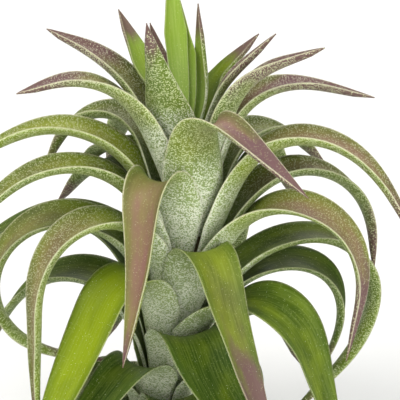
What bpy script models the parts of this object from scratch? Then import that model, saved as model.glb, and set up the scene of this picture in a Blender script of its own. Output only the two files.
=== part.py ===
"""A sky plant with a tall leafy stem, standing on its stem foot and on its lowest leaf tips.

The code works in millimetres and degrees and hands Blender metres. The plant grows on the
axis of its foot and is then centred over the origin, which lies on the surface under the
middle of the plant's spread. +Z is up, and the front faces -Y. A leaf's azimuth is counted
from the front (-Y) towards +X.
"""
import math

import bmesh
import bpy
from mathutils import Matrix

MM = 0.001

STEM_COLOUR = (0.23, 0.20, 0.11)
OLD_GREEN = (0.16, 0.26, 0.06)
YOUNG_GREEN = (0.33, 0.45, 0.14)

# The stem, with the slow sideways bow that the plant grew into
STEM_RADIUS = 4.2
STEM_TIP_RADIUS = 1.0
STEM_HEIGHT = 101.0
STEM_TAPER_FROM = 80.0
STEM_SIDES = 16
STEM_RINGS = 16
BOW = 7.5
BOW_FROM = 10.0
BOW_TO = 78.0
BOW_BACK = 2.6
BOW_END = 135.0

# The sheaths, cone walls of one slope that clasp the stem and nest in each other
SEAT_GAP = 0.3
SHEATH_SLOPE = 0.34
SHEATH_LENGTH = 17.0
WRAP_LIMIT = 53.0
NEST_STEP = 3.1
NEST_ANGLE = 108.0
ORDER_STEP = 0.6
SETTLE_ROUNDS = 400

# The blades
THICKNESS_MIDDLE = 0.95
THICKNESS_EDGE = 0.62
TIP_HALF_WIDTH = 0.32
TAPER = 0.50
WAIST = 0.95
STATIONS = 15
ACROSS = (-1.0, -0.52, 0.0, 0.52, 1.0)
FINE_STEPS = 240
BEND_WEIGHT = 16.0

# The tip of a blade that lands dips this far into the ground, which leaves a small flat spot
GROUND_DIP = 0.12

# A leaf's form by the height of its root, from the oldest at the foot to the youngest:
# length, turn of the blade, end of the bend, fold of the channel, half width
FORM_BY_HEIGHT = (
    (0.0, (52.0, 118.0, 44.0, 34.0, 8.0)),
    (20.0, (66.0, 128.0, 53.0, 38.0, 8.2)),
    (40.0, (80.0, 142.0, 62.0, 42.0, 8.4)),
    (55.0, (83.0, 138.0, 61.0, 48.0, 8.6)),
    (65.0, (81.0, 112.0, 60.0, 50.0, 8.5)),
    (75.0, (69.0, 84.0, 59.0, 50.0, 8.3)),
    (82.0, (55.0, 48.0, 54.0, 49.0, 8.0)),
    (88.0, (46.0, 20.0, 44.0, 49.0, 7.2)),
    (95.0, (40.0, -8.0, 34.0, 48.0, 5.6)),
)
FORM_NAMES = ("length", "turn", "bend_to", "fold", "width")
BEND_FROM = 14.0


def leaf(azimuth, root, **own):
    """One leaf of the list below: where its root sits, and what is its own about its form."""
    return dict(azimuth=azimuth, root=root, own=own)


# From the growing point down. The bend is told along the leaf from its root, the sweep is
# how far the blade swings sideways, and a raised leaf roots higher for the same blade. A
# taper near 1 narrows a blade evenly to its tip, a lower one keeps it wide for longer.
LEAVES = (
    # upright leaves round the growing point
    leaf(-160, 95.5, length=42, turn=-16, width=3.6, bend_from=2, bend_to=14, taper=0.9),
    leaf(176, 93.6, length=34, turn=-15, width=4.2, bend_from=1, bend_to=16, taper=1),
    leaf(112, 91.8, length=35, turn=-21, width=3.6, bend_from=5, bend_to=21, taper=1),
    leaf(-106, 90.0, length=37, turn=6, width=5, bend_from=0, bend_to=14, sweep=-22, taper=0.8),
    leaf(-150, 88.4, length=33, turn=3, width=4, bend_from=2, bend_to=16, taper=0.9),
    leaf(84, 86.8, length=40, turn=27, width=4.2, bend_from=10, bend_to=30, taper=0.7),
    leaf(138, 85.2, length=38, turn=27, width=5.2, bend_from=8, bend_to=30, sweep=-32, taper=0.65),
    leaf(-25, 83.8, length=43, turn=-9, width=6.8, fold=30, sweep=-5, taper=0.85),
    # young leaves that lean out and begin to arch
    leaf(-103, 82.4, length=49, turn=44, bend_from=11, bend_to=43),
    leaf(178, 80.5, length=56, turn=120, width=6.4, bend_from=7, bend_to=40),
    leaf(68, 79.6, length=54, turn=46, width=7, bend_from=15, bend_to=45, taper=0.42),
    leaf(-69, 78.2, length=56, turn=80, fold=44, bend_from=14, bend_to=52),
    leaf(104, 74.8, length=63, turn=85, width=7.3, bend_from=12, bend_to=52, raised=2),
    leaf(174, 75.0, length=58, turn=126, width=6.4, bend_from=8, bend_to=40),
    leaf(-130, 71.5, length=58, turn=128, bend_from=9.5, bend_to=53, sweep=24),
    # full leaves that arch over, the front ones folded hard over the sheath
    leaf(12, 72.0, length=68, turn=94, width=8.6, fold=54, bend_from=21, bend_to=45, sweep=30,
         raised=-2.6, taper=0.75),
    leaf(-150, 66.2, length=62, turn=124, width=8, bend_from=11, bend_to=54),
    leaf(121, 69.0, length=54, turn=112, bend_from=9, bend_to=46),
    leaf(-28, 66.0, length=72, turn=153, width=8.1, fold=58, bend_to=36, sweep=10, twist=22,
         raised=-2.4, taper=0.8),
    leaf(154, 63.0, length=74, turn=122, bend_from=11, bend_to=54, sweep=-14),
    leaf(-94, 60.6, length=80, turn=97, bend_from=12.6, bend_to=65),
    leaf(78, 58.0, length=88, turn=128, bend_from=16, bend_to=76, raised=2),
    leaf(-76, 52.0, length=86, turn=112, bend_to=72, raised=4),
    leaf(-142, 56.0, length=60, turn=118, bend_from=13, bend_to=58, sweep=10),
    leaf(103, 45.5, length=89, turn=148, bend_from=16, bend_to=84, raised=6),
    leaf(-139, 50.0, length=66, turn=118, bend_from=13, bend_to=60, sweep=10),
    leaf(65, 42.0, length=96, turn=162, width=9, bend_from=16, bend_to=86, sweep=8, twist=10,
         raised=6, taper=0.7),
    leaf(-58, 43.5, length=106, turn=168, fold=46, bend_from=15, bend_to=72, sweep=-15, raised=2),
    leaf(11, 48.0, length=89, turn=127, width=7.2, fold=32, bend_from=14, bend_to=37, sweep=38,
         raised=-5),
    leaf(172, 43.5),
    leaf(-92, 34.5, length=121, turn=244, bend_from=13, bend_to=115, twist=-12, raised=5),
    leaf(98, 35.0, length=112, turn=202, width=8, bend_from=4, bend_to=104),
    leaf(-48, 39.0, length=84, turn=141, width=8.6, fold=30, bend_to=38, sweep=-9, twist=-20,
         raised=-2),
    leaf(160, 38.2, turn=140, bend_from=13, bend_to=60),
    # old leaves low on the stem, flatter and hanging
    leaf(-128, 33.0, length=98, turn=120, bend_from=3, bend_to=86, sweep=22, twist=-12),
    leaf(98, 28.5, length=84, turn=184, width=8, bend_from=9, bend_to=86, twist=14, raised=2),
    leaf(48, 28.0, length=90, turn=135, width=9.4, fold=30, bend_from=11, bend_to=61, sweep=26,
         twist=20),
    leaf(12, 26.0, length=76, turn=108, width=9.6, fold=32, bend_from=13, bend_to=34, sweep=30),
    leaf(-114, 22.2, length=83, turn=142, width=9.4, fold=44, bend_from=7, bend_to=79, twist=-12,
         raised=4),
    leaf(168, 23.5, turn=140, bend_from=10),
    leaf(-34, 17.0, length=61, turn=116, fold=32, bend_from=13, bend_to=34, sweep=-14),
    leaf(-158, 19.5, bend_from=11),
    leaf(118, 17.0),
    # the lowest ring, which carries the plant on its tips
    leaf(70, 13.5, turn=146, bend_to=38, lands=True),
    leaf(-84, 9.0, turn=148, bend_to=38, lands=True),
    leaf(180, 11.0, turn=146, bend_to=38, lands=True),
    leaf(8, 8.0, turn=148, bend_to=38, lands=True),
    leaf(126, 5.5, turn=150, bend_to=36, lands=True),
    leaf(-130, 4.0, turn=150, bend_to=36, lands=True),
    leaf(-30, 3.0, turn=150, bend_to=36, lands=True),
)


def smooth(start, end, value):
    """Rise from 0 to 1 between start and end, level at both ends."""
    share = min(max((value - start) / (end - start), 0.0), 1.0)
    return share * share * (3.0 - 2.0 * share)


def stem_radius(height):
    """Radius of the stem, which narrows to the growing point."""
    narrowing = smooth(STEM_TAPER_FROM, STEM_HEIGHT, height)
    return STEM_RADIUS + (STEM_TIP_RADIUS - STEM_RADIUS) * narrowing


def bow(height):
    """Sideways lean of the whole plant at a height."""
    return BOW * smooth(BOW_FROM, BOW_TO, height) - BOW_BACK * smooth(BOW_TO, BOW_END, height)


def apart(first, second):
    """Angle between two azimuths, from 0 to 180 degrees."""
    return abs((first - second + 180.0) % 360.0 - 180.0)


def form_at(height):
    """The common form of a leaf whose root is at this height."""
    low_height, low = FORM_BY_HEIGHT[0]
    for high_height, high in FORM_BY_HEIGHT[1:]:
        if height <= high_height:
            break
        low_height, low = high_height, high
    share = min(max((height - low_height) / max(high_height - low_height, 1e-6), 0.0), 1.0)
    values = [a + (b - a) * share for a, b in zip(low, high)]
    common = dict(bend_from=BEND_FROM, taper=TAPER, sweep=0.0, twist=0.0,
                  raised=0.0, lands=False)
    return dict(zip(FORM_NAMES, values), **common)


def completed(row):
    """A row of the list with every measure of its form filled in."""
    form = form_at(row["root"])
    form.update(row["own"])
    rise = math.cos(math.atan(SHEATH_SLOPE))
    root = row["root"] + form["raised"]
    for measure in ("length", "bend_from", "bend_to"):
        form[measure] -= form["raised"] / rise
    return dict(form, azimuth=row["azimuth"], root=root)


def settled_roots(forms):
    """Root heights, moved up and down the stem until every two overlapping sheaths nest."""
    roots = [form["root"] for form in forms]
    for _ in range(SETTLE_ROUNDS):
        worst = 0.0
        for i in range(len(forms)):
            for j in range(i + 1, min(i + 8, len(forms))):
                overlap = apart(forms[i]["azimuth"], forms[j]["azimuth"]) < NEST_ANGLE
                need = NEST_STEP if overlap else ORDER_STEP
                short = need - (roots[j] - roots[i])
                if short > 0.0:
                    worst = max(worst, short)
                    roots[i] = max(roots[i] - 0.5 * short, forms[0]["root"])
                    roots[j] += 0.5 * short
        if worst < 0.01:
            break
    return roots


class Leaf:
    """A leaf as a row of curved sections along its middle line."""

    def __init__(self, form, root):
        shift = (form["root"] - root) / math.cos(math.atan(SHEATH_SLOPE))
        self.azimuth = form["azimuth"]
        self.root = root
        self.length = form["length"] + shift
        self.bend_from = form["bend_from"] + shift
        self.bend_to = form["bend_to"] + shift
        self.turn = form["turn"]
        self.width = form["width"]
        self.fold = form["fold"]
        self.sweep = form["sweep"]
        self.taper = form["taper"]
        self.twist = form["twist"]
        if form["lands"]:
            self.land()

    def tilt(self, along):
        """Angle of the middle line from upright, in radians."""
        turned = self.turn * smooth(self.bend_from, self.bend_to, along)
        return math.atan(SHEATH_SLOPE) + math.radians(turned)

    def half_width(self, along, radius):
        """Half of the width, measured along the curved surface."""
        if along < SHEATH_LENGTH:
            width = self.width
        else:
            left = (self.length - along) / (self.length - SHEATH_LENGTH)
            waisted = WAIST + (1.0 - WAIST) * smooth(0.65, 1.0, left)
            narrowed = 1.0 - (1.0 - max(left, 0.0)) ** (1.0 / self.taper)
            width = self.width * waisted * narrowed
        if along < SHEATH_LENGTH * 1.3:
            width = min(width, math.radians(WRAP_LIMIT) * radius)
        return max(width, TIP_HALF_WIDTH)

    def middle_line(self):
        """Finely stepped points: along, x, y, z, heading, sheath radius."""
        step = self.length / FINE_STEPS
        heading = math.radians(self.azimuth)
        radius = stem_radius(self.root) + SEAT_GAP
        x = radius * math.sin(heading)
        y = -radius * math.cos(heading)
        z = self.root
        line = []
        for i in range(FINE_STEPS + 1):
            along = i * step
            swung = self.sweep * smooth(SHEATH_LENGTH * 0.8, self.length * 0.65, along)
            heading = math.radians(self.azimuth + swung)
            line.append((along, x, y, z, heading, radius))
            tilt = self.tilt(along + 0.5 * step)
            x += math.sin(tilt) * math.sin(heading) * step
            y -= math.sin(tilt) * math.cos(heading) * step
            z += math.cos(tilt) * step
            if along < SHEATH_LENGTH * 1.5:
                radius = min(radius + math.sin(tilt) * step, 12.0)
        return line

    def stations(self):
        """Points of the middle line, closer together where the leaf bends."""
        line = self.middle_line()
        cost = [0.0]
        for before, after in zip(line, line[1:]):
            bent = abs(self.tilt(after[0]) - self.tilt(before[0]))
            cost.append(cost[-1] + after[0] - before[0] + BEND_WEIGHT * bent)
        picked = []
        at = 0
        for i in range(STATIONS):
            wanted = cost[-1] * i / (STATIONS - 1)
            while at < FINE_STEPS and cost[at] < wanted:
                at += 1
            picked.append(line[at])
        return picked

    def twisted(self, side, inward, along):
        """The two directions of a section, turned about the middle line."""
        angle = math.radians(self.twist) * smooth(SHEATH_LENGTH * 1.4, SHEATH_LENGTH * 3.0, along)
        kept, moved = math.cos(angle), math.sin(angle)
        new_side = [kept * a + moved * b for a, b in zip(side, inward)]
        new_inward = [kept * b - moved * a for a, b in zip(side, inward)]
        return new_side, new_inward

    def point(self, station, across, outside):
        """A point of a section: across runs from edge to edge, outside is the lower face."""
        along, x, y, z, heading, radius = station
        away = smooth(SHEATH_LENGTH * 0.5, SHEATH_LENGTH * 1.5, along)
        width = self.half_width(along, radius)
        held = self.tilt(along) * away
        side = (math.cos(heading), math.sin(heading), 0.0)
        inward = (-math.cos(held) * math.sin(heading), math.cos(held) * math.cos(heading), math.sin(held))
        side, inward = self.twisted(side, inward, along)
        curve = (1.0 - away) / radius + away * math.radians(self.fold) / width
        angle = across * width * curve
        swell = (1.0 - across * across) * away
        thick = THICKNESS_EDGE + (THICKNESS_MIDDLE - THICKNESS_EDGE) * swell
        thick = thick if outside else 0.0
        sideways = math.sin(angle) / curve + thick * math.sin(angle)
        lifted = (1.0 - math.cos(angle)) / curve - thick * math.cos(angle)
        px = x + side[0] * sideways + inward[0] * lifted
        py = y + side[1] * sideways + inward[1] * lifted
        pz = max(z + side[2] * sideways + inward[2] * lifted, 0.0)
        return (px + bow(pz), py, pz)

    def land(self):
        """Give the blade the length at which its tip just dips into the ground."""
        self.length = 2.0 * STEM_HEIGHT
        before = None
        for along, x, y, z, heading, radius in self.middle_line():
            low = z - math.sin(self.tilt(along)) * THICKNESS_MIDDLE + GROUND_DIP
            if low < 0.0 and along > self.bend_to:
                share = before[1] / (before[1] - low)
                self.length = before[0] + share * (along - before[0])
                return
            before = (along, low)


def material(name, colour, roughness):
    """A plain finish from its base colour and roughness."""
    mat = bpy.data.materials.new(name)
    mat.use_nodes = True
    shader = mat.node_tree.nodes["Principled BSDF"]
    shader.inputs["Base Color"].default_value = (*colour, 1.0)
    shader.inputs["Roughness"].default_value = roughness
    shader.inputs["Metallic"].default_value = 0.0
    mat.diffuse_color = (*colour, 1.0)
    return mat


def finished(name, mesh_data, mat, smoothing):
    """Close a bmesh into a named object with outward faces."""
    bmesh.ops.recalc_face_normals(mesh_data, faces=mesh_data.faces)
    mesh = bpy.data.meshes.new(name)
    mesh_data.to_mesh(mesh)
    mesh_data.free()
    mesh.shade_smooth()
    mesh.set_sharp_from_angle(angle=math.radians(smoothing))
    mesh.materials.append(mat)
    obj = bpy.data.objects.new(name, mesh)
    bpy.context.collection.objects.link(obj)
    return obj


def build_leaf(name, shape, mat):
    """A closed blade: an upper and a lower face, split alike, joined round the rim."""
    mesh_data = bmesh.new()
    stations = shape.stations()
    faces = []
    for outside in (False, True):
        rows = []
        for station in stations:
            points = [shape.point(station, across, outside) for across in ACROSS]
            rows.append([mesh_data.verts.new([value * MM for value in point]) for point in points])
        faces.append(rows)
    last = len(ACROSS) - 1
    for i in range(len(stations) - 1):
        for rows in faces:
            for j in range(last):
                a, b = rows[i][j], rows[i][j + 1]
                c, d = rows[i + 1][j + 1], rows[i + 1][j]
                mesh_data.faces.new((a, b, c))
                mesh_data.faces.new((a, c, d))
        for j in (0, last):
            upper, lower = faces
            a, b = upper[i][j], upper[i + 1][j]
            c, d = lower[i + 1][j], lower[i][j]
            mesh_data.faces.new((a, b, c))
            mesh_data.faces.new((a, c, d))
    for i in (0, len(stations) - 1):
        for j in range(last):
            a, b = faces[0][i][j], faces[0][i][j + 1]
            c, d = faces[1][i][j + 1], faces[1][i][j]
            mesh_data.faces.new((a, b, c))
            mesh_data.faces.new((a, c, d))
    return finished(name, mesh_data, mat, 60.0)


def build_stem(mat):
    """The bowed stem, flat at its foot and closed at its growing point."""
    mesh_data = bmesh.new()
    rings = []
    for i in range(STEM_RINGS + 1):
        height = STEM_HEIGHT * i / STEM_RINGS
        ring = []
        for k in range(STEM_SIDES):
            angle = 2.0 * math.pi * k / STEM_SIDES
            x = bow(height) + stem_radius(height) * math.cos(angle)
            y = stem_radius(height) * math.sin(angle)
            ring.append(mesh_data.verts.new((x * MM, y * MM, height * MM)))
        rings.append(ring)
    for lower, upper in zip(rings, rings[1:]):
        for k in range(STEM_SIDES):
            after = (k + 1) % STEM_SIDES
            mesh_data.faces.new((lower[k], lower[after], upper[after], upper[k]))
    mesh_data.faces.new(rings[0])
    mesh_data.faces.new(rings[-1])
    return finished("stem", mesh_data, mat, 40.0)


def centre(pieces):
    """Move every piece sideways so that the plant's spread is centred over the origin."""
    points = [vertex.co for obj in pieces for vertex in obj.data.vertices]
    middle_x = 0.5 * (min(point.x for point in points) + max(point.x for point in points))
    middle_y = 0.5 * (min(point.y for point in points) + max(point.y for point in points))
    for obj in pieces:
        obj.data.transform(Matrix.Translation((-middle_x, -middle_y, 0.0)))


def main():
    """Clear the scene, then build the stem and every leaf from the foot up."""
    for obj in list(bpy.data.objects):
        bpy.data.objects.remove(obj, do_unlink=True)
    pieces = [build_stem(material("stem", STEM_COLOUR, 0.8))]
    forms = sorted((completed(row) for row in LEAVES), key=lambda form: form["root"])
    roots = settled_roots(forms)
    for number, (form, root) in enumerate(zip(forms, roots), start=1):
        name = f"leaf_{number:02d}"
        youth = root / STEM_HEIGHT
        colour = [a + (b - a) * youth for a, b in zip(OLD_GREEN, YOUNG_GREEN)]
        pieces.append(build_leaf(name, Leaf(form, root), material(name, colour, 0.6)))
    centre(pieces)


main()
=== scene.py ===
# %% [markdown]
# # A sky plant with a tall leafy stem
# This lesson dresses a plain model of an air plant. The plain model is the frame: fifty
# closed leaf blades and one stem, each at its true size and place. We load it first and
# keep its box, because the finished plant has to stay inside it.

# %% Load the frame
import math

import bpy
import numpy as np
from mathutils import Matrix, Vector


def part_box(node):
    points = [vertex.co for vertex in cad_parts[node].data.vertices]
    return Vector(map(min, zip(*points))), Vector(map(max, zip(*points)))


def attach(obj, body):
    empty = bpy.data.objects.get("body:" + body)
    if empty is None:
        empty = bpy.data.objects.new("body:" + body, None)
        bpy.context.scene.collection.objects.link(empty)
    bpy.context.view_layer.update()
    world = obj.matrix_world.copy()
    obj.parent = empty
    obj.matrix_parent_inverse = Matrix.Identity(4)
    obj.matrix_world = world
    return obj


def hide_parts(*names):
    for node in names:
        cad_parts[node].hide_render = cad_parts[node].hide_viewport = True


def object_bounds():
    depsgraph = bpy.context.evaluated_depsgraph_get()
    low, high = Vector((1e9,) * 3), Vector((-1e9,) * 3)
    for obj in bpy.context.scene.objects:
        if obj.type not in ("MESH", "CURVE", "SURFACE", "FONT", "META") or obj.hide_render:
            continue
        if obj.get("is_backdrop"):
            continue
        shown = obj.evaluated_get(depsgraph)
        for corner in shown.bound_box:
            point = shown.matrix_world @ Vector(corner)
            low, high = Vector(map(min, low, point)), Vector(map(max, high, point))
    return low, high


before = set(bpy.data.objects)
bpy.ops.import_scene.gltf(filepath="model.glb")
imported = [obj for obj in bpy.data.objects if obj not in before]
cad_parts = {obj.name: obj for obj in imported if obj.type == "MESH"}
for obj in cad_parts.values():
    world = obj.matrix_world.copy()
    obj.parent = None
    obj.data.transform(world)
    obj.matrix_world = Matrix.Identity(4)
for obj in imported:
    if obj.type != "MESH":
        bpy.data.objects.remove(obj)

frame_box = [list(corner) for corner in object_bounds()]
stem_low, stem_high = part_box("stem")
print("frame pieces:", len(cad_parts))

# %% [markdown]
# ## The rule that the plant grows by
# A sky plant is one rule repeated. Every leaf clasps the stem with a cone-shaped sheath,
# leaves it at the same slope, then turns over into a channelled, tapering blade. We could
# sculpt fifty leaves by hand, but then no two sheaths would nest. Written as a formula, the
# same rule gives the plain solids and, with many more steps, these finished leaves.

# %% The measures of the stem, the sheaths and the blades, in millimetres and degrees
MM = 0.001
STEM_RADIUS, STEM_TIP_RADIUS = 4.2, 1.0
STEM_HEIGHT, STEM_TAPER_FROM = 101.0, 80.0
BOW, BOW_FROM, BOW_TO = 7.5, 10.0, 78.0
BOW_BACK, BOW_END = 2.6, 135.0
SEAT_GAP, SHEATH_SLOPE, SHEATH_LENGTH = 0.3, 0.34, 17.0
WRAP_LIMIT, NEST_STEP, NEST_ANGLE, ORDER_STEP = 53.0, 3.1, 108.0, 0.6
SETTLE_ROUNDS, NEIGHBOURS, SETTLED = 400, 8, 0.01
THICKNESS_MIDDLE, THICKNESS_EDGE = 0.95, 0.62
TAPER, WAIST, GROUND_DIP = 0.50, 0.95, 0.12
TIP_HALF_WIDTH = 0.32
BEND_FROM = 14.0
FORM_BY_HEIGHT = (
    (0.0, (52.0, 118.0, 44.0, 34.0, 8.0)),
    (20.0, (66.0, 128.0, 53.0, 38.0, 8.2)),
    (40.0, (80.0, 142.0, 62.0, 42.0, 8.4)),
    (55.0, (83.0, 138.0, 61.0, 48.0, 8.6)),
    (65.0, (81.0, 112.0, 60.0, 50.0, 8.5)),
    (75.0, (69.0, 84.0, 59.0, 50.0, 8.3)),
    (82.0, (55.0, 48.0, 54.0, 49.0, 8.0)),
    (88.0, (46.0, 20.0, 44.0, 49.0, 7.2)),
    (95.0, (40.0, -8.0, 34.0, 48.0, 5.6)),
)
FORM_NAMES = ("length", "turn", "bend_to", "fold", "width")
foot_x = stem_low.x / MM + STEM_RADIUS
foot_y = 0.5 * (stem_low.y + stem_high.y) / MM
print(f"the stem's foot stands at {foot_x:.2f}, {foot_y:.2f} mm")


def smooth(start, end, value):
    """Rise from 0 to 1 between start and end, level at both ends."""
    share = min(max((value - start) / (end - start), 0.0), 1.0)
    return share * share * (3.0 - 2.0 * share)


def stem_radius(height):
    """Radius of the stem, which narrows to the growing point."""
    narrowing = smooth(STEM_TAPER_FROM, STEM_HEIGHT, height)
    return STEM_RADIUS + (STEM_TIP_RADIUS - STEM_RADIUS) * narrowing


def bow(height):
    """Sideways lean of the whole plant at a height."""
    return BOW * smooth(BOW_FROM, BOW_TO, height) - BOW_BACK * smooth(BOW_TO, BOW_END, height)


# %% [markdown]
# ## The leaves, one by one
# Each row names a leaf by the side that it grows on and the height of its root. Beside the
# form, a row can hold its colour: tone runs from a deep green (0) to a sunny yellow-green
# (1), blush is how much purple-brown the sun has drawn into the channel, silver is how
# thick the scurf lies on the blade, and tip is the share of the blade that has darkened.

# %% The list of leaves
def leaf(azimuth, root, tone=0.4, blush=0.15, **own):
    """One row: where the root sits, its colour, and what is its own about its form."""
    return dict(azimuth=azimuth, root=root, tone=tone, blush=blush, own=own)


LEAVES = (
    # upright leaves round the growing point
    leaf(-160, 95.5, 0.80, 0.00, length=42, turn=-16, width=3.6, bend_from=2, bend_to=14, taper=0.9,
         silver=0.1, tip=0.08),
    leaf(176, 93.6, 0.85, 0.00, length=34, turn=-15, width=4.2, bend_from=1, bend_to=16, taper=1,
         silver=0.1, tip=0.1),
    leaf(112, 91.8, 0.50, 0.10, length=35, turn=-21, width=3.6, bend_from=5, bend_to=21, taper=1,
         silver=0.3, tip=0.3),
    leaf(-106, 90.0, 0.60, 0.05, length=37, turn=6, width=5, bend_from=0, bend_to=14, sweep=-22,
         taper=0.8, silver=0.3, tip=0.34),
    leaf(-150, 88.4, 0.40, 0.70, length=33, turn=3, width=4, bend_from=2, bend_to=16, taper=0.9,
         silver=0.6, tip=0.4),
    leaf(84, 86.8, 0.40, 0.60, length=40, turn=27, width=4.2, bend_from=10, bend_to=30, taper=0.7,
         silver=1, tip=0.55),
    leaf(138, 85.2, 0.55, 0.00, length=38, turn=27, width=5.2, bend_from=8, bend_to=30, sweep=-32,
         taper=0.65, silver=0.15, tip=0.3),
    leaf(-25, 83.8, 0.25, 0.05, length=43, turn=-9, width=6.8, fold=30, sweep=-5, taper=0.85,
         silver=0.6, tip=0.28),
    # young leaves that lean out and begin to arch
    leaf(-103, 82.4, 0.35, 0.50, length=49, turn=44, bend_from=11, bend_to=43, silver=1.1, tip=0.45),
    leaf(178, 80.5, length=56, turn=120, width=6.4, bend_from=7, bend_to=40),
    leaf(68, 79.6, 0.30, 0.50, length=54, turn=46, width=7, bend_from=15, bend_to=45, taper=0.42,
         silver=1.1, tip=0.5),
    leaf(-69, 78.2, 0.40, 0.80, length=56, turn=80, fold=44, bend_from=14, bend_to=52, silver=1.4,
         tip=0.35),
    leaf(104, 74.8, 0.35, 0.90, length=63, turn=85, width=7.3, bend_from=12, bend_to=52, raised=2,
         silver=1, tip=0.5),
    leaf(174, 75.0, length=58, turn=126, width=6.4, bend_from=8, bend_to=40),
    leaf(-130, 71.5, 0.35, 0.30, length=58, turn=128, bend_from=9.5, bend_to=53, sweep=24, silver=1,
         tip=0.22),
    # full leaves that arch over, the front ones folded hard over the sheath
    leaf(12, 72.0, 0.45, 1.00, length=68, turn=94, width=8.6, fold=54, bend_from=21, bend_to=45,
         sweep=30, raised=-2.6, taper=0.75, silver=0.5, tip=0.42),
    leaf(-150, 66.2, length=62, turn=124, width=8, bend_from=11, bend_to=54),
    leaf(121, 69.0, 0.35, 0.30, length=54, turn=112, bend_from=9, bend_to=46),
    leaf(-28, 66.0, 0.60, 1.00, length=72, turn=153, width=8.1, fold=58, bend_to=36, sweep=10,
         twist=22, raised=-2.4, taper=0.8, silver=0.4, tip=0.2),
    leaf(154, 63.0, length=74, turn=122, bend_from=11, bend_to=54, sweep=-14),
    leaf(-94, 60.6, 0.85, 0.35, length=80, turn=97, bend_from=12.6, bend_to=65, silver=0.9, tip=0.24),
    leaf(78, 58.0, 0.60, 0.90, length=88, turn=128, bend_from=16, bend_to=76, raised=2, silver=0.8,
         tip=0.3),
    leaf(-76, 52.0, 0.50, 0.30, length=86, turn=112, bend_to=72, raised=4, silver=0.8, tip=0.22),
    leaf(-142, 56.0, length=60, turn=118, bend_from=13, bend_to=58, sweep=10),
    leaf(103, 45.5, 0.30, 0.60, length=89, turn=148, bend_from=16, bend_to=84, raised=6, silver=0.8,
         tip=0.3),
    leaf(-139, 50.0, 0.20, 0.10, length=66, turn=118, bend_from=13, bend_to=60, sweep=10,
         silver=0.6, tip=0.22),
    leaf(65, 42.0, 0.60, 0.85, length=96, turn=162, width=9, bend_from=16, bend_to=86, sweep=8,
         twist=10, raised=6, taper=0.7, silver=0.7, tip=0.34),
    leaf(-58, 43.5, 0.55, 0.70, length=106, turn=168, fold=46, bend_from=15, bend_to=72, sweep=-15,
         raised=2, silver=0.8, tip=0.14),
    leaf(11, 48.0, 0.50, 0.20, length=89, turn=127, width=7.2, fold=32, bend_from=14, bend_to=37,
         sweep=38, raised=-5, silver=0.3, tip=0.42),
    leaf(172, 43.5, 0.25, 0.10),
    leaf(-92, 34.5, 0.45, 0.45, length=121, turn=244, bend_from=13, bend_to=115, twist=-12,
         raised=5, silver=0.6, tip=0.22),
    leaf(98, 35.0, 0.35, 0.25, length=112, turn=202, width=8, bend_from=4, bend_to=104, silver=0.5,
         tip=0.15),
    leaf(-48, 39.0, 0.85, 0.00, length=84, turn=141, width=8.6, fold=30, bend_to=38, sweep=-9,
         twist=-20, raised=-2, silver=0.3, tip=0.08),
    leaf(160, 38.2, 0.20, 0.10, turn=140, bend_from=13, bend_to=60),
    # old leaves low on the stem, flatter and hanging
    leaf(-128, 33.0, 0.15, 0.10, length=98, turn=120, bend_from=3, bend_to=86, sweep=22, twist=-12,
         silver=0.4, tip=0.22),
    leaf(98, 28.5, 0.15, 0.10, length=84, turn=184, width=8, bend_from=9, bend_to=86, twist=14,
         raised=2, silver=0.35, tip=0.16),
    leaf(48, 28.0, 0.34, 0.00, length=90, turn=135, width=9.4, fold=30, bend_from=11, bend_to=61,
         sweep=26, twist=20, silver=0.2, tip=0.1),
    leaf(12, 26.0, 0.18, 0.00, length=76, turn=108, width=9.6, fold=32, bend_from=13, bend_to=34,
         sweep=30, silver=0.15, tip=0.1),
    leaf(-114, 22.2, 0.20, 0.10, length=83, turn=142, width=9.4, fold=44, bend_from=7, bend_to=79,
         twist=-12, raised=4, silver=0.4, tip=0.22),
    leaf(168, 23.5, 0.15, 0.10, turn=140, bend_from=10),
    leaf(-34, 17.0, 0.10, 0.00, length=61, turn=116, fold=32, bend_from=13, bend_to=34, sweep=-14,
         silver=0.3, tip=0.15),
    leaf(-158, 19.5, 0.15, 0.10, bend_from=11, silver=0.4, tip=0.22),
    leaf(118, 17.0, 0.15, 0.10, silver=0.4, tip=0.22),
    # the lowest ring, which carries the plant on its tips
    leaf(70, 13.5, 0.15, 0.15, turn=146, bend_to=38, lands=True, silver=0.4, tip=0.22),
    leaf(-84, 9.0, 0.15, 0.15, turn=148, bend_to=38, lands=True, silver=0.4, tip=0.22),
    leaf(180, 11.0, 0.15, 0.20, turn=146, bend_to=38, lands=True),
    leaf(8, 8.0, 0.12, 0.10, turn=148, bend_to=38, lands=True, silver=0.3, tip=0.22),
    leaf(126, 5.5, 0.20, 0.25, turn=150, bend_to=36, lands=True),
    leaf(-130, 4.0, 0.20, 0.25, turn=150, bend_to=36, lands=True),
    leaf(-30, 3.0, 0.15, 0.15, turn=150, bend_to=36, lands=True, silver=0.4, tip=0.22),
)
print("leaves in the list:", len(LEAVES))

# %% [markdown]
# ## Nesting the sheaths
# On the real plant an older sheath always lies outside a younger one. If two sheaths
# overlap round the stem, their roots must be far enough apart in height for one wall to
# slip inside the other. We relax the roots in pairs until that holds everywhere.


# %% Fill in each leaf's form and settle the roots
COMMON_SILVER, COMMON_TIP = 1.0, 0.22


def form_at(height):
    """The common form of a leaf whose root is at this height."""
    low_height, low = FORM_BY_HEIGHT[0]
    for high_height, high in FORM_BY_HEIGHT[1:]:
        if height <= high_height:
            break
        low_height, low = high_height, high
    share = min(max((height - low_height) / max(high_height - low_height, 1e-6), 0.0), 1.0)
    values = [a + (b - a) * share for a, b in zip(low, high)]
    common = dict(bend_from=BEND_FROM, taper=TAPER, sweep=0.0, twist=0.0, raised=0.0, lands=False)
    return dict(zip(FORM_NAMES, values), **common, silver=COMMON_SILVER, tip=COMMON_TIP)


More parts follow.
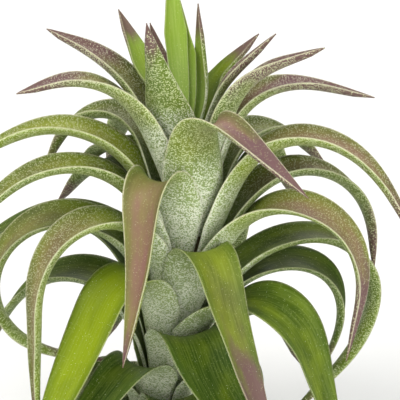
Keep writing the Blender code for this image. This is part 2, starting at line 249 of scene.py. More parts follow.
def completed(row):
    """A row of the list with every measure of its form filled in."""
    form = form_at(row["root"])
    form.update(row["own"])
    rise = math.cos(math.atan(SHEATH_SLOPE))
    root = row["root"] + form["raised"]
    for measure in ("length", "bend_from", "bend_to"):
        form[measure] -= form["raised"] / rise
    return dict(form, azimuth=row["azimuth"], root=root, tone=row["tone"], blush=row["blush"])


def apart(first, second):
    """Angle between two azimuths, from 0 to 180 degrees."""
    return abs((first - second + 180.0) % 360.0 - 180.0)


def settled_roots(forms):
    """Root heights, moved until every two overlapping sheaths nest."""
    roots = [form["root"] for form in forms]
    for _ in range(SETTLE_ROUNDS):
        worst = 0.0
        for i in range(len(forms)):
            for j in range(i + 1, min(i + NEIGHBOURS, len(forms))):
                overlap = apart(forms[i]["azimuth"], forms[j]["azimuth"]) < NEST_ANGLE
                short = (NEST_STEP if overlap else ORDER_STEP) - (roots[j] - roots[i])
                if short > 0.0:
                    worst = max(worst, short)
                    roots[i] = max(roots[i] - 0.5 * short, forms[0]["root"])
                    roots[j] += 0.5 * short
        if worst < SETTLED:
            break
    return roots


forms = sorted((completed(row) for row in LEAVES), key=lambda form: form["root"])
roots = settled_roots(forms)
print(f"roots run from {roots[0]:.1f} to {roots[-1]:.1f} mm up the stem")

# %% [markdown]
# ## The shape of one leaf
# A leaf is a row of curved cross-sections strung on a middle line. Low down a section is an
# arc about the stem; further out it becomes a channel with its own fold. The finished leaf
# takes many more sections than the plain solid. Its rim thins out, its margin waves a
# little, and its tip ends in a point.

# %% The leaf's middle line and its sections
# Limits that end in _SPAN are shares of the sheath's length, measured along the leaf.
FREE_SPAN, TWIST_SPAN = (0.5, 1.5), (1.4, 3.0)
WRAP_SPAN, CONE_SPAN = 1.3, 1.5
SWEEP_FROM, SWEEP_TO = 0.8, 0.65
WIDEST_CONE = 12.0
WAIST_ABOVE = 0.65
FINE_STEPS, LANDING_STEPS = 480, 240
STATIONS = 84
BEND_WEIGHT = 10.0
COLUMNS = 13
RIM_THICKNESS, RIM_SHARPNESS = 0.45, 5
INNER_FACE_LIFT = 0.06
THIN_TIP, THIN_BELOW = 0.35, 1.6
WAVE_HEIGHT, WAVE_WIDTH = 0.14, 4.0
LONG_WAVE, SHORT_WAVE, SHORT_WAVE_SHARE = 5.3, 2.9, 0.6
PHASE_STEP = 2.4
TIP_FROM, TIP_CROWDING = 0.9, 1.5
POINT_WIDTH = 0.10


class Leaf:
    """A leaf as a row of curved sections along its middle line."""

    def __init__(self, form, root, number):
        shift = (form["root"] - root) / math.cos(math.atan(SHEATH_SLOPE))
        self.azimuth, self.root = form["azimuth"], root
        self.length = form["length"] + shift
        self.bend_from = form["bend_from"] + shift
        self.bend_to = form["bend_to"] + shift
        self.turn, self.width = form["turn"], form["width"]
        self.fold, self.sweep = form["fold"], form["sweep"]
        self.taper, self.twist = form["taper"], form["twist"]
        self.phase = PHASE_STEP * number
        if form["lands"]:
            self.land()

    def tilt(self, along):
        """Angle of the middle line from upright, in radians."""
        turned = self.turn * smooth(self.bend_from, self.bend_to, along)
        return math.atan(SHEATH_SLOPE) + math.radians(turned)

    def half_width(self, along, radius):
        """Half of the width, measured along the curved surface."""
        if along < SHEATH_LENGTH:
            width = self.width
        else:
            left = (self.length - along) / (self.length - SHEATH_LENGTH)
            waisted = WAIST + (1.0 - WAIST) * smooth(WAIST_ABOVE, 1.0, left)
            narrowed = 1.0 - (1.0 - max(left, 0.0)) ** (1.0 / self.taper)
            width = self.width * waisted * narrowed
        if along < SHEATH_LENGTH * WRAP_SPAN:
            width = min(width, math.radians(WRAP_LIMIT) * radius)
        return max(width, POINT_WIDTH)

    def middle_line(self, steps=FINE_STEPS):
        """Finely stepped points: along, x, y, z, heading, sheath radius."""
        step = self.length / steps
        heading = math.radians(self.azimuth)
        radius = stem_radius(self.root) + SEAT_GAP
        x, y, z = radius * math.sin(heading), -radius * math.cos(heading), self.root
        line = []
        for i in range(steps + 1):
            along = i * step
            swung = self.sweep * smooth(SHEATH_LENGTH * SWEEP_FROM, self.length * SWEEP_TO, along)
            heading = math.radians(self.azimuth + swung)
            line.append((along, x, y, z, heading, radius))
            tilt = self.tilt(along + 0.5 * step)
            x += math.sin(tilt) * math.sin(heading) * step
            y -= math.sin(tilt) * math.cos(heading) * step
            z += math.cos(tilt) * step
            if along < SHEATH_LENGTH * CONE_SPAN:
                radius = min(radius + math.sin(tilt) * step, WIDEST_CONE)
        return line

    def stations(self):
        """Points of the middle line, closer together where the leaf bends and at its tip."""
        line = self.middle_line()
        cost = [0.0]
        for before, after in zip(line, line[1:]):
            bent = abs(self.tilt(after[0]) - self.tilt(before[0]))
            at_tip = 1.0 + TIP_CROWDING * smooth(TIP_FROM, 1.0, after[0] / self.length)
            cost.append(cost[-1] + (after[0] - before[0]) * at_tip + BEND_WEIGHT * bent)
        wanted = np.linspace(0.0, cost[-1], STATIONS)
        return [line[at] for at in sorted(set(np.searchsorted(cost, wanted).clip(0, FINE_STEPS)))]

    def twisted(self, side, inward, along):
        """The two directions of a section, turned about the middle line."""
        start, end = (SHEATH_LENGTH * share for share in TWIST_SPAN)
        angle = math.radians(self.twist) * smooth(start, end, along)
        kept, moved = math.cos(angle), math.sin(angle)
        new_side = [kept * a + moved * b for a, b in zip(side, inward)]
        new_inward = [kept * b - moved * a for a, b in zip(side, inward)]
        return new_side, new_inward

    def point(self, station, across, outside):
        """A point of a section: across runs from edge to edge, outside is the lower face."""
        along, x, y, z, heading, radius = station
        start, end = (SHEATH_LENGTH * share for share in FREE_SPAN)
        away = smooth(start, end, along)
        width = self.half_width(along, radius)
        held = self.tilt(along) * away
        right, front = math.cos(heading), math.sin(heading)
        side = (right, front, 0.0)
        inward = (-math.cos(held) * front, math.cos(held) * right, math.sin(held))
        side, inward = self.twisted(side, inward, along)
        curve = (1.0 - away) / radius + away * math.radians(self.fold) / max(width, TIP_HALF_WIDTH)
        angle = across * width * curve
        swell = (1.0 - across * across) * away
        thick = THICKNESS_EDGE + (THICKNESS_MIDDLE - THICKNESS_EDGE) * swell
        thick *= 1.0 - (1.0 - RIM_THICKNESS) * abs(across) ** RIM_SHARPNESS
        thick *= min(1.0, THIN_TIP + (1.0 - THIN_TIP) * width / THIN_BELOW)
        slow = math.sin(along / LONG_WAVE + self.phase)
        quick = SHORT_WAVE_SHARE * math.sin(along / SHORT_WAVE - across + self.phase)
        wave = WAVE_HEIGHT * (slow + quick) * across * across * away * min(1.0, width / WAVE_WIDTH)
        off = (thick if outside else INNER_FACE_LIFT) - wave
        sideways = math.sin(angle) / curve + off * math.sin(angle)
        lifted = (1.0 - math.cos(angle)) / curve - off * math.cos(angle)
        px = x + side[0] * sideways + inward[0] * lifted
        py = y + side[1] * sideways + inward[1] * lifted
        pz = max(z + side[2] * sideways + inward[2] * lifted, 0.0)
        return (px + bow(pz) + foot_x, py + foot_y, pz)

    def land(self):
        """Give the blade the length at which its tip just dips into the ground."""
        self.length = 2.0 * STEM_HEIGHT
        before = None
        for along, x, y, z, heading, radius in self.middle_line(LANDING_STEPS):
            low = z - math.sin(self.tilt(along)) * THICKNESS_MIDDLE + GROUND_DIP
            if low < 0.0 and along > self.bend_to:
                share = before[1] / (before[1] - low)
                self.length = before[0] + share * (along - before[0])
                return
            before = (along, low)


shapes = [Leaf(form, root, number) for number, (form, root) in enumerate(zip(forms, roots), 1)]
longest = max(shape.length for shape in shapes)
print(f"the longest leaf is {longest:.0f} mm from root to tip")

# %% [markdown]
# ## Turning sections into a skin that knows where it is
# The finish changes along a leaf: scurfy on the sheath, bright on the blade, purple at the
# tip, pale on the margin. A picture could carry that, but it would have to be painted.
# Instead every point of the skin stores its own place as attributes, and the materials
# read those. A UV map in units of ten millimetres keeps the grain true to size.

# %% Build a leaf's skin with its attributes
SCURF_FADES_FROM, SCURF_FADES_OVER = 11.0, 0.22
BARE_UPPER_SHEATH, BARE_UPPER_BLADE = 0.75, 0.6
RIM_FROM, BLADE_BESIDE_RIM = 0.9, 0.35
UV_UNIT, LOWER_FACE_SHIFT = 10.0, 5.0


def add_attribute(mesh, name, values):
    """Store one number for each point of a mesh."""
    layer = mesh.attributes.new(name, "FLOAT", "POINT")
    layer.data.foreach_set("value", np.asarray(values, dtype=np.float32))


def skin_of(name, shape, form):
    """A closed leaf: rings of points round each section, with a cap at both ends."""
    stations = shape.stations()
    inner = np.linspace(-1.0, 1.0, COLUMNS)
    ring = [(v, False) for v in inner] + [(v, True) for v in inner[::-1]]
    count = len(ring)
    points, place, uv = [], [], []
    for station in stations:
        along, radius = station[0], station[5]
        width = shape.half_width(along, radius)
        for across, outside in ring:
            points.append([c * MM for c in shape.point(station, across, outside)])
            place.append((along / shape.length, along, across, 0.0 if outside else 1.0))
            shift = LOWER_FACE_SHIFT if outside else 0.0
            uv.append((across * width / UV_UNIT + shift, along / UV_UNIT + shape.phase))
    faces = []
    for i in range(len(stations) - 1):
        for k in range(count):
            after = (k + 1) % count
            a, b = i * count + k, i * count + after
            faces.append((a, a + count, b + count, b))
    last = (len(stations) - 1) * count
    for start, turned in ((0, False), (last, True)):
        for k in range(COLUMNS - 1):
            a, b = start + k, start + k + 1
            c, d = start + count - 2 - k, start + count - 1 - k
            faces.append((a, d, c, b) if turned else (a, b, c, d))
    mesh = bpy.data.meshes.new(name)
    mesh.from_pydata(points, [], faces)
    place = np.array(place)
    share, along, across, upper = place.T
    add_attribute(mesh, "share", share)
    fading = np.clip((along - SCURF_FADES_FROM) / (SCURF_FADES_OVER * shape.length), 0.0, 1.0)
    add_attribute(mesh, "sheath", (1.0 - fading) * (1.0 - BARE_UPPER_SHEATH * upper))
    add_attribute(mesh, "across", across)
    add_attribute(mesh, "upper", upper)
    for name in ("tone", "blush", "silver", "tip"):
        add_attribute(mesh, name, np.full(len(points), form[name]))
    add_attribute(mesh, "age", np.full(len(points), 1.0 - shape.root / STEM_HEIGHT))
    at_rim = np.abs(across) > RIM_FROM
    on_blade = form["silver"] * (BLADE_BESIDE_RIM + (1.0 - BLADE_BESIDE_RIM) * at_rim)
    scurf = np.maximum(on_blade, mesh_column(mesh, "sheath")) * (1.0 - BARE_UPPER_BLADE * upper)
    add_attribute(mesh, "scurf", scurf)
    layer = mesh.uv_layers.new(name="UVMap")
    corners = np.zeros(len(mesh.loops), dtype=np.int32)
    mesh.loops.foreach_get("vertex_index", corners)
    layer.data.foreach_set("uv", np.array(uv)[corners].astype(np.float32).ravel())
    mesh.shade_smooth()
    mesh.validate()
    return mesh


def mesh_column(mesh, name):
    """An attribute's values as an array."""
    values = np.zeros(len(mesh.vertices), dtype=np.float32)
    mesh.attributes[name].data.foreach_get("value", values)
    return values


# %% [markdown]
# ## Small helpers for materials
# Node materials get long, so we name the few moves that repeat: read an attribute, do one
# sum, blend two colours, and reshape a value between two limits. Colours are written as
# they look on a screen and turned into the linear values that a renderer works in.

# %% Helpers that place nodes
def screen(red, green, blue):
    """A colour given as 0 to 255 on screen, as linear values with full cover."""
    linear = [(c / 255.0) / 12.92 if c < 10 else ((c / 255.0 + 0.055) / 1.055) ** 2.4
              for c in (red, green, blue)]
    return (*linear, 1.0)


class Finish:
    """A material under construction: its tree, its shader and the moves that build it."""

    def __init__(self, name):
        self.material = bpy.data.materials.new(name)
        self.material.use_nodes = True
        self.tree = self.material.node_tree
        self.shader = self.tree.nodes["Principled BSDF"]

    def node(self, kind, **settings):
        made = self.tree.nodes.new(kind)
        for key, value in settings.items():
            setattr(made, key, value)
        return made

    def feed(self, socket, value):
        if hasattr(value, "is_output"):
            self.tree.links.new(value, socket)
        else:
            socket.default_value = value

    def read(self, name):
        """One of the skin's attributes."""
        return self.node("ShaderNodeAttribute", attribute_name=name).outputs["Fac"]

    def sum(self, operation, *values):
        """One step of arithmetic."""
        made = self.node("ShaderNodeMath", operation=operation)
        for socket, value in zip(made.inputs, values):
            self.feed(socket, value)
        return made.outputs[0]

    def band(self, value, low, high, bottom=0.0, top=1.0):
        """Ease a value from bottom to top between two limits."""
        made = self.node("ShaderNodeMapRange", interpolation_type="SMOOTHSTEP")
        for socket, number in zip(made.inputs, (value, low, high, bottom, top)):
            self.feed(socket, number)
        return made.outputs[0]

    def blend(self, share, first, second):
        """Blend two colours."""
        made = self.node("ShaderNodeMix", data_type="RGBA")
        self.feed(made.inputs["Factor"], share)
        self.feed(made.inputs["A"], first)
        self.feed(made.inputs["B"], second)
        return made.outputs["Result"]

    def noise(self, vector, scale, detail=2.0, stretch=(1.0, 1.0, 1.0)):
        """Soft noise on a stretched copy of the coordinates."""
        mapping = self.node("ShaderNodeMapping")
        self.feed(mapping.inputs["Vector"], vector)
        self.feed(mapping.inputs["Scale"], stretch)
        made = self.node("ShaderNodeTexNoise")
        self.feed(made.inputs["Vector"], mapping.outputs[0])
        self.feed(made.inputs["Scale"], scale)
        self.feed(made.inputs["Detail"], detail)
        return made.outputs["Fac"]

    def flecks(self, vector, scale):
        """Scattered cells: the distance to each cell's middle, and the cell's own random number."""
        made = self.node("ShaderNodeTexVoronoi", voronoi_dimensions="2D")
        self.feed(made.inputs["Vector"], vector)
        self.feed(made.inputs["Scale"], scale)
        chance = self.node("ShaderNodeSeparateColor")
        self.feed(chance.inputs[0], made.outputs["Color"])
        return made.outputs["Distance"], chance.outputs[0]


# %% [markdown]
# ## The leaf's skin
# Under the scales a sky plant is a bright green succulent leaf. Deep green and sunny green
# mix by the leaf's tone, long faint veins run to the tip, and strong light has turned the
# channel and the tips purple-brown. Over it lies the scurf, a coat of pale drinking scales
# that is thickest on the sheath. The finest of it is painted here as flecks a quarter of a
# millimetre wide; the larger scales are added as real geometry further on.

# %% The leaf's colours
DEEP_GREEN = screen(42, 66, 4)
SUNNY_GREEN = screen(128, 146, 4)
DEEP_BACK = screen(76, 98, 34)
SUNNY_BACK = screen(126, 144, 44)
EDGE_GREEN = screen(58, 84, 14)
YOUNG_GREEN = screen(132, 162, 58)
SHEATH_GREEN = screen(118, 144, 74)
VEIN_GREEN = screen(162, 180, 92)
BLUSH = screen(132, 98, 88)
DARK_TIP = screen(104, 76, 78)
PALE_MARGIN = screen(212, 206, 176)
# Pale scurf bloom on the sheaths. It also serves as painted light on the low sheaths.
PALE_BLOOM_AND_PAINTED_LIGHT = screen(200, 212, 164)
WITHERED = screen(96, 62, 42)
FLECK_ON_GREEN = screen(204, 214, 140)
FLECK_ON_SILVER = screen(228, 230, 198)
FLECK_ON_BACK = screen(226, 234, 186)
FLECK_ON_SHEATH = screen(244, 247, 228)
print("leaf colours:", 17)

# %% Make the leaf skin material
FLECKS_PER_CENTIMETRE = 35.0
SKIN_BUMP, SKIN_RELIEF = 0.55, 0.12
SOFT_LIGHT, SOFT_LIGHT_REACH = 0.10, (0.0009, 0.0014, 0.0004)


def leaf_green(fin, place, cloud):
    """The living green under the scales: deep or sunny, paler below, soft on young leaves."""
    upper, sheath, tone = fin.read("upper"), fin.read("sheath"), fin.read("tone")
    mixed_tone = fin.sum("ADD", tone, fin.band(cloud, 0.25, 0.75, -0.22, 0.22))
    bright = fin.blend(fin.band(mixed_tone, 0.0, 1.0), DEEP_GREEN, SUNNY_GREEN)
    dull = fin.blend(fin.band(mixed_tone, 0.0, 1.0), DEEP_BACK, SUNNY_BACK)
    green = fin.blend(upper, dull, bright)
    rim = fin.sum("ABSOLUTE", fin.read("across"))
    edges = fin.sum("MULTIPLY", upper, fin.band(rim, 0.35, 1.0, 0.0, 0.5))
    green = fin.blend(edges, green, EDGE_GREEN)
    young = fin.band(fin.read("age"), 0.06, 0.16, 0.75, 0.0)
    green = fin.blend(fin.sum("MULTIPLY", young, upper), green, YOUNG_GREEN)
    green = fin.blend(sheath, green, SHEATH_GREEN)
    veins = fin.noise(place, 26.0, 1.0, (1.0, 0.035, 1.0))
    strength = fin.band(fin.read("age"), 0.06, 0.16, 0.34, 0.14)
    return fin.blend(fin.band(veins, 0.35, 0.7, 0.0, strength), green, VEIN_GREEN), veins


def sun_blush(fin, place, colour):
    """The purple-brown of the channel and of the tip."""
    share, upper, blush, tip = (fin.read(name) for name in ("share", "upper", "blush", "tip"))
    rim = fin.sum("ABSOLUTE", fin.read("across"))
    patches = fin.noise(place, 3.0, 3.0, (1.0, 0.25, 1.0))
    channel = fin.sum("MULTIPLY", fin.band(share, 0.22, 0.5), fin.band(rim, 1.0, 0.3, 0.35, 1.0))
    channel = fin.sum("MULTIPLY", channel, fin.band(upper, 0.0, 1.0, 0.22, 1.0))
    channel = fin.sum("MULTIPLY", channel, fin.band(patches, 0.2, 0.7, 0.55, 1.0))
    colour = fin.blend(fin.sum("MULTIPLY", channel, blush), colour, BLUSH)
    start = fin.sum("SUBTRACT", 1.0, tip)
    frayed = fin.sum("ADD", share, fin.band(patches, 0.3, 0.7, -0.06, 0.06))
    darkened = fin.band(frayed, start, fin.sum("ADD", start, 0.16), 0.0, 0.9)
    return fin.blend(darkened, colour, DARK_TIP)


def scurf_cover(fin, place):
    """Where the painted flecks lie, from 0 to 1: small cells, of which a share is silver."""
    sheath, upper, silver = fin.read("sheath"), fin.read("upper"), fin.read("silver")
    rim = fin.sum("ABSOLUTE", fin.read("across"))
    middle, chance = fin.flecks(place, FLECKS_PER_CENTIMETRE)
    below = fin.band(silver, 0.0, 1.2, 0.30, 0.60)
    above = fin.band(silver, 0.3, 1.0, 0.04, 0.38)
    on_blade = fin.band(upper, 0.0, 1.0, below, above)
    wanted = fin.sum("MAXIMUM", on_blade, fin.band(sheath, 0.0, 1.0, 0.0, 0.68))
    at_rim = fin.band(rim, 0.85, 1.0, 0.0, 0.35)
    wanted = fin.sum("ADD", wanted, fin.sum("MULTIPLY", at_rim, fin.band(silver, 0.0, 1.0, 0.3, 1.0)))
    wanted = fin.sum("MULTIPLY", wanted, fin.band(fin.read("share"), 0.70, 0.95, 1.0, 0.35))
    bare = fin.sum("SUBTRACT", 1.0, wanted)
    lit = fin.band(chance, fin.sum("SUBTRACT", bare, 0.10), fin.sum("ADD", bare, 0.10))
    reach = fin.band(sheath, 0.0, 0.6, 0.55, 0.75)
    return fin.sum("MULTIPLY", lit, fin.band(middle, reach, fin.sum("SUBTRACT", reach, 0.3)))


def make_leaf_skin():
    fin = Finish("leaf_skin")
    place = fin.node("ShaderNodeUVMap", uv_map="UVMap").outputs[0]
    cloud = fin.noise(place, 1.6, 3.0, (1.0, 0.45, 1.0))
    colour, veins = leaf_green(fin, place, cloud)
    colour = sun_blush(fin, place, colour)

    share, sheath = fin.read("share"), fin.read("sheath")
    rim = fin.sum("ABSOLUTE", fin.read("across"))
    margin = fin.sum("MULTIPLY", fin.band(rim, 0.935, 0.995), fin.band(share, 0.1, 0.35, 0.35, 0.75))
    margin = fin.sum("MULTIPLY", margin, fin.band(fin.noise(place, 14.0, 2.0), 0.3, 0.6, 0.35, 1.0))
    kept = fin.sum("MAXIMUM", fin.band(fin.read("silver"), 0.1, 0.9, 0.3, 0.8),
                   fin.band(fin.read("blush"), 0.4, 0.9, 0.3, 1.0))
    colour = fin.blend(fin.sum("MULTIPLY", margin, kept), colour, PALE_MARGIN)

    # A pale bloom of scurf lies on every sheath and grows stronger on the older, lower leaves. That
    # extra whitening low down is painted light: it lifts the shade that the leaves above cast on the
    # low sheaths.
    bloom_and_painted_light = fin.sum("MULTIPLY", sheath, fin.band(fin.read("age"), 0.15, 0.60, 0.25, 0.62))
    colour = fin.blend(bloom_and_painted_light, colour, PALE_BLOOM_AND_PAINTED_LIGHT)
    fleck = scurf_cover(fin, place)
    frosted = fin.band(fin.read("silver"), 0.3, 0.9)
    above = fin.band(frosted, 0.0, 1.0, 0.28, 0.46)
    on_blade = fin.band(fin.read("upper"), 0.0, 1.0, 0.72, above)
    strength = fin.sum("MAXIMUM", on_blade, fin.band(sheath, 0.0, 1.0, 0.0, 0.95))
    on_green = fin.blend(frosted, FLECK_ON_GREEN, FLECK_ON_SILVER)
    on_back = fin.blend(fin.band(sheath, 0.0, 0.35), FLECK_ON_BACK, FLECK_ON_SHEATH)
    silvery = fin.blend(fin.read("upper"), on_back, on_green)
    colour = fin.blend(fin.sum("MULTIPLY", fleck, strength), colour, silvery)
    old = fin.sum("MULTIPLY", fin.read("age"), fin.band(share, 0.95, 1.0, 0.0, 0.8))
    colour = fin.blend(old, colour, WITHERED)
    fin.feed(fin.shader.inputs["Base Color"], colour)

    fin.feed(fin.shader.inputs["Roughness"], fin.band(fleck, 0.0, 1.0, 0.50, 0.85))
    height = fin.sum("ADD", fin.sum("MULTIPLY", fleck, 0.7), fin.sum("MULTIPLY", veins, 0.5))
    bump = fin.node("ShaderNodeBump")
    bump.inputs["Strength"].default_value = SKIN_BUMP
    bump.inputs["Distance"].default_value = SKIN_RELIEF * MM
    fin.feed(bump.inputs["Height"], height)
    fin.feed(fin.shader.inputs["Normal"], bump.outputs[0])
    fin.shader.inputs["Subsurface Weight"].default_value = SOFT_LIGHT
    fin.shader.inputs["Subsurface Radius"].default_value = SOFT_LIGHT_REACH
    fin.shader.inputs["Specular IOR Level"].default_value = 0.2
    return fin.material


leaf_skin = make_leaf_skin()
print("leaf skin nodes:", len(leaf_skin.node_tree.nodes))

# %% [markdown]
# ## The drinking scales
# An air plant has no working roots. It drinks through thousands of tiny silver shields
# that stand a little proud of the skin, which is why its outline looks frosted. They could
# be a texture only, but then the edges would be knife-clean. Geometry Nodes scatter real
# shields over each leaf, more where the skin's scurf attribute is high.

# %% The scale's own finish
def make_silver_scale():
    fin = Finish("silver_scale")
    coordinates = fin.node("ShaderNodeTexCoord").outputs["Object"]
    cloud = fin.noise(coordinates, 900.0, 1.0)
    colour = fin.blend(fin.band(cloud, 0.3, 0.7), screen(184, 198, 150), screen(224, 232, 202))
    fin.feed(fin.shader.inputs["Base Color"], colour)
    fin.feed(fin.shader.inputs["Roughness"], fin.band(cloud, 0.3, 0.7, 0.65, 0.85))
    fin.shader.inputs["Specular IOR Level"].default_value = 0.4
    return fin.material


silver_scale = make_silver_scale()


# %% The scatter tree
def make_scatter():
    """Leaf in, leaf with raised scales out."""
    tree = bpy.data.node_groups.new("silver_scales", "GeometryNodeTree")
    face = tree.interface
    face.new_socket("Leaf", in_out="INPUT", socket_type="NodeSocketGeometry")
    for label, kind in (("Scales per Square Metre", "Float"), ("Scale Width", "Float"),
                        ("Scale Height", "Float"), ("Seed", "Int"), ("Finish", "Material")):
        face.new_socket(label, in_out="INPUT", socket_type="NodeSocket" + kind)
    face.new_socket("Leaf", in_out="OUTPUT", socket_type="NodeSocketGeometry")
    nodes, links = tree.nodes, tree.links
    given, result = nodes.new("NodeGroupInput"), nodes.new("NodeGroupOutput")

    scurf = nodes.new("GeometryNodeInputNamedAttribute")
    scurf.data_type = "FLOAT"
    scurf.inputs["Name"].default_value = "scurf"
    crowding = nodes.new("ShaderNodeMath")
    crowding.operation = "MULTIPLY"
    links.new(given.outputs["Scales per Square Metre"], crowding.inputs[0])
    links.new(scurf.outputs["Attribute"], crowding.inputs[1])
    scatter = nodes.new("GeometryNodeDistributePointsOnFaces")
    links.new(given.outputs["Leaf"], scatter.inputs["Mesh"])
    links.new(crowding.outputs[0], scatter.inputs["Density"])
    links.new(given.outputs["Seed"], scatter.inputs["Seed"])

    shield = nodes.new("GeometryNodeMeshCone")
    shield.inputs["Vertices"].default_value = 3
    shield.inputs["Radius Top"].default_value = 0.0
    links.new(given.outputs["Scale Width"], shield.inputs["Radius Bottom"])
    links.new(given.outputs["Scale Height"], shield.inputs["Depth"])
    mark = nodes.new("GeometryNodeStoreNamedAttribute")
    mark.data_type, mark.domain = "BOOLEAN", "FACE"
    mark.inputs["Name"].default_value = "is_scale"
    mark.inputs["Value"].default_value = True
    links.new(shield.outputs["Mesh"], mark.inputs["Geometry"])

    size = nodes.new("FunctionNodeRandomValue")
    size.data_type = "FLOAT_VECTOR"
    size.inputs["Min"].default_value = (0.7, 0.7, 0.7)
    size.inputs["Max"].default_value = (1.1, 1.5, 1.2)
    links.new(given.outputs["Seed"], size.inputs["Seed"])
    place = nodes.new("GeometryNodeInstanceOnPoints")
    links.new(scatter.outputs["Points"], place.inputs["Points"])
    links.new(mark.outputs["Geometry"], place.inputs["Instance"])
    links.new(scatter.outputs["Rotation"], place.inputs["Rotation"])
    links.new(size.outputs["Value"], place.inputs["Scale"])
    join = nodes.new("GeometryNodeJoinGeometry")
    links.new(place.outputs["Instances"], join.inputs[0])
    links.new(given.outputs["Leaf"], join.inputs[0])

    real = nodes.new("GeometryNodeRealizeInstances")
    links.new(join.outputs[0], real.inputs[0])
    marked = nodes.new("GeometryNodeInputNamedAttribute")
    marked.data_type = "BOOLEAN"
    marked.inputs["Name"].default_value = "is_scale"
    paint = nodes.new("GeometryNodeSetMaterial")
    links.new(real.outputs[0], paint.inputs["Geometry"])
    links.new(marked.outputs["Attribute"], paint.inputs["Selection"])
    links.new(given.outputs["Finish"], paint.inputs["Material"])
    links.new(paint.outputs[0], result.inputs[0])
    return tree


scatter_tree = make_scatter()
print("scatter nodes:", len(scatter_tree.nodes))


# %% Run the scatter on a leaf and keep a plain mesh
SCALES_PER_SQUARE_METRE = 4.4e6
SCALE_RADIUS, SCALE_HEIGHT = 0.085, 0.07


def set_input(modifier, label, value):
    """Set a modifier's input by the identifier of the socket with this label."""
    for item in modifier.node_group.interface.items_tree:
        if item.item_type == "SOCKET" and item.in_out == "INPUT" and item.name == label:
            modifier[item.identifier] = value


def plain(piece):
    """The evaluated piece as a mesh of its own, with no modifier left."""
    graph = bpy.context.evaluated_depsgraph_get()
    mesh = bpy.data.meshes.new_from_object(piece.evaluated_get(graph), depsgraph=graph)
    piece.modifiers.clear()
    piece.data = mesh
    return piece


def dressed(name, mesh, seed):
    """A finished leaf: its skin with the scales standing on it."""
    mesh.materials.append(leaf_skin)
    piece = bpy.data.objects.new(name, mesh)
    bpy.context.scene.collection.objects.link(piece)
    modifier = piece.modifiers.new("silver scales", "NODES")
    modifier.node_group = scatter_tree
    set_input(modifier, "Scales per Square Metre", SCALES_PER_SQUARE_METRE)
    set_input(modifier, "Scale Width", SCALE_RADIUS * MM)
    set_input(modifier, "Scale Height", SCALE_HEIGHT * MM)
    set_input(modifier, "Seed", seed)
    set_input(modifier, "Finish", silver_scale)
    return plain(piece)


# %% Make every leaf
triangles = 0
for number, (form, shape) in enumerate(zip(forms, shapes), start=1):
    node = f"leaf_{number:02d}"
    piece = dressed(f"skin_{number:02d}", skin_of(node, shape, form), number)
    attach(piece, "root")
    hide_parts(node)
    triangles += sum(len(face.vertices) - 2 for face in piece.data.polygons)
print(f"fifty leaves, {triangles} triangles")

# %% [markdown]
# ## The stem
# Almost all of the stem hides in the leaves, but it shows from below and between the lowest
# sheaths. It is fibrous and brown, ringed with the scars of old leaves. A turned profile
# with a shallow ring at each scar is enough; the fibres are left to the material.

# %% Make the stem's finish
FRESH_FROM = 76.0
BARK_BUMP, BARK_RELIEF = 0.7, 0.3


def make_stem_bark():
    fin = Finish("stem_bark")
    place = fin.node("ShaderNodeTexCoord").outputs["Object"]
    fibres = fin.noise(place, 700.0, 3.0, (1.0, 1.0, 0.12))
    patches = fin.noise(place, 160.0, 2.0)
    colour = fin.blend(fin.band(fibres, 0.3, 0.7), screen(92, 74, 48), screen(156, 138, 98))
    colour = fin.blend(fin.band(patches, 0.4, 0.7, 0.0, 0.6), colour, screen(118, 116, 78))
    height = fin.node("ShaderNodeSeparateXYZ")
    fin.feed(height.inputs[0], place)
    tender = fin.band(height.outputs["Z"], FRESH_FROM * MM, STEM_HEIGHT * MM)
    colour = fin.blend(tender, colour, screen(150, 172, 96))
    fin.feed(fin.shader.inputs["Base Color"], colour)
    fin.feed(fin.shader.inputs["Roughness"], fin.band(fibres, 0.3, 0.7, 0.9, 0.7))
    bump = fin.node("ShaderNodeBump")
    bump.inputs["Strength"].default_value = BARK_BUMP
    bump.inputs["Distance"].default_value = BARK_RELIEF * MM
    fin.feed(bump.inputs["Height"], fibres)
    fin.feed(fin.shader.inputs["Normal"], bump.outputs[0])
    return fin.material


# %% Turn the stem
STEM_RINGS, STEM_SIDES = 150, 40
SCAR_DEPTH, SCAR_WIDTH = 0.16, 0.9
GRAIN_DEPTH, GRAIN_RIDGES, GRAIN_LEAN = 0.05, 9.0, 0.4


def make_stem():
    points, faces = [], []
    for i in range(STEM_RINGS + 1):
        height = STEM_HEIGHT * i / STEM_RINGS
        scar = min(abs(height - root) for root in roots)
        inside = 0 < i < STEM_RINGS
        ring_in = SCAR_DEPTH * (1.0 - smooth(0.0, SCAR_WIDTH, scar)) if inside else 0.0
        for k in range(STEM_SIDES):
            angle = 2.0 * math.pi * k / STEM_SIDES
            wave = math.sin(angle * GRAIN_RIDGES + height * GRAIN_LEAN)
            grain = GRAIN_DEPTH * (1.0 + wave) if inside else 0.0
            radius = stem_radius(height) - ring_in - grain
            x = foot_x + bow(height) + radius * math.cos(angle)
            y = foot_y + radius * math.sin(angle)
            points.append((x * MM, y * MM, height * MM))
    for i in range(STEM_RINGS):
        for k in range(STEM_SIDES):
            after = (k + 1) % STEM_SIDES
            a, b = i * STEM_SIDES + k, i * STEM_SIDES + after
            faces.append((a, b, b + STEM_SIDES, a + STEM_SIDES))
    faces.append(tuple(reversed(range(STEM_SIDES))))
    faces.append(tuple(STEM_RINGS * STEM_SIDES + k for k in range(STEM_SIDES)))
    mesh = bpy.data.meshes.new("stem_core")
    mesh.from_pydata(points, [], faces)
    mesh.shade_smooth()
    mesh.set_sharp_from_angle(angle=math.radians(50.0))
    mesh.materials.append(make_stem_bark())
    piece = bpy.data.objects.new("stem_core", mesh)
    bpy.context.scene.collection.objects.link(piece)
    return piece


stem_piece = make_stem()
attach(stem_piece, "root")
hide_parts("stem")
print("stem triangles:", sum(len(face.vertices) - 2 for face in stem_piece.data.polygons))

# %% [markdown]
# ## The studio
# The plant stands in bright, even light on a white table. One wide lamp above and to the
# left gives the leaves their soft modelling, a second fills from low in front, a third
# stands behind, and a pale sky fills every shadow with light.

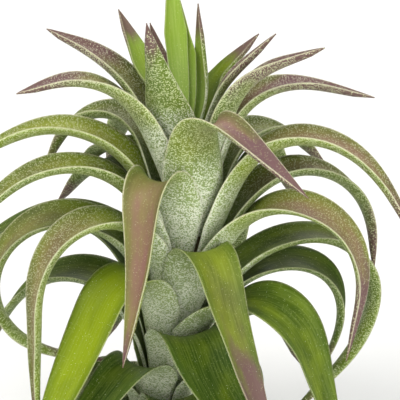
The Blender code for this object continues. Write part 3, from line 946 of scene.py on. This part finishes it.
# %% Floor, light and sky
def make_floor():
    reach = 3.0
    mesh = bpy.data.meshes.new("table")
    corners = [(-reach, -reach, 0), (reach, -reach, 0), (reach, reach, 0), (-reach, reach, 0)]
    mesh.from_pydata(corners, [], [(0, 1, 2, 3)])
    fin = Finish("white_table")
    place = fin.node("ShaderNodeTexCoord").outputs["Object"]
    # The faint grey cloud in the table's white is painted soft shade, which makes a gentle grey
    # gradient behind the plant.
    cloud = fin.noise(place, 6.0, 2.0)
    white = fin.blend(fin.band(cloud, 0.3, 0.7), screen(226, 226, 225), screen(232, 232, 231))
    fin.feed(fin.shader.inputs["Base Color"], white)
    fin.shader.inputs["Roughness"].default_value = 0.9
    mesh.materials.append(fin.material)
    floor = bpy.data.objects.new("table", mesh)
    bpy.context.scene.collection.objects.link(floor)
    floor.location.z = -0.0002
    floor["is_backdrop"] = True


def add_lamp(name, place, aim, size, power, colour):
    """A square soft lamp that faces a point."""
    data = bpy.data.lights.new(name, "AREA")
    data.size, data.energy, data.color = size, power, colour
    lamp = bpy.data.objects.new(name, data)
    bpy.context.scene.collection.objects.link(lamp)
    lamp.location = place
    direction = Vector(aim) - Vector(place)
    lamp.rotation_mode = "QUATERNION"
    lamp.rotation_quaternion = direction.to_track_quat("-Z", "Y")


make_floor()
add_lamp("key", (-0.55, -0.55, 0.95), (0, 0, 0.07), 0.7, 9.0, (1.0, 0.985, 0.95))
add_lamp("fill", (0.45, -0.85, 0.35), (0, 0, 0.06), 0.9, 7.0, (1.0, 1.0, 0.99))
add_lamp("back", (0.1, 0.8, 0.8), (0, 0, 0.06), 0.9, 4.5, (1.0, 1.0, 1.0))
world = bpy.data.worlds.new("sky")
world.use_nodes = True
world.node_tree.nodes["Background"].inputs["Color"].default_value = (1.0, 1.0, 0.99, 1.0)
world.node_tree.nodes["Background"].inputs["Strength"].default_value = 0.72
bpy.context.scene.world = world
bpy.context.scene.view_settings.view_transform = "Standard"

# %% [markdown]
# ## The camera
# The photograph looks slightly down at the plant from close by. The camera stands 45 cm
# away and 18 degrees above the level, and a long lens keeps the leaves' proportions.

# %% Place the camera
CAMERA_DISTANCE, CAMERA_ELEVATION = 0.45, 18.0
AIM = ((foot_x + 10.5) * MM, foot_y * MM, 0.0768)
WIDTH_AT_PLANT = 0.100


def make_camera():
    rise = math.radians(CAMERA_ELEVATION)
    data = bpy.data.cameras.new("camera")
    data.sensor_width = 36.0
    data.lens = data.sensor_width * CAMERA_DISTANCE / WIDTH_AT_PLANT
    data.clip_start, data.clip_end = 0.01, 20.0
    camera = bpy.data.objects.new("camera", data)
    bpy.context.scene.collection.objects.link(camera)
    back, up = CAMERA_DISTANCE * math.cos(rise), CAMERA_DISTANCE * math.sin(rise)
    camera.location = (AIM[0], AIM[1] - back, AIM[2] + up)
    camera.rotation_euler = (math.radians(90.0) - rise, 0.0, 0.0)
    bpy.context.scene.camera = camera


make_camera()

# %% [markdown]
# ## Print the sizes and finish
# Both boxes, the frame's and the finished plant's, are printed side by side. The finished
# plant may not outgrow the frame.

# %% Print the two boxes and finish
visual_box = [list(corner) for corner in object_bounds()]
for label, corners in (("frame", frame_box), ("visual", visual_box)):
    print(label, [round((b - a) / MM, 2) for a, b in zip(*corners)], "mm")
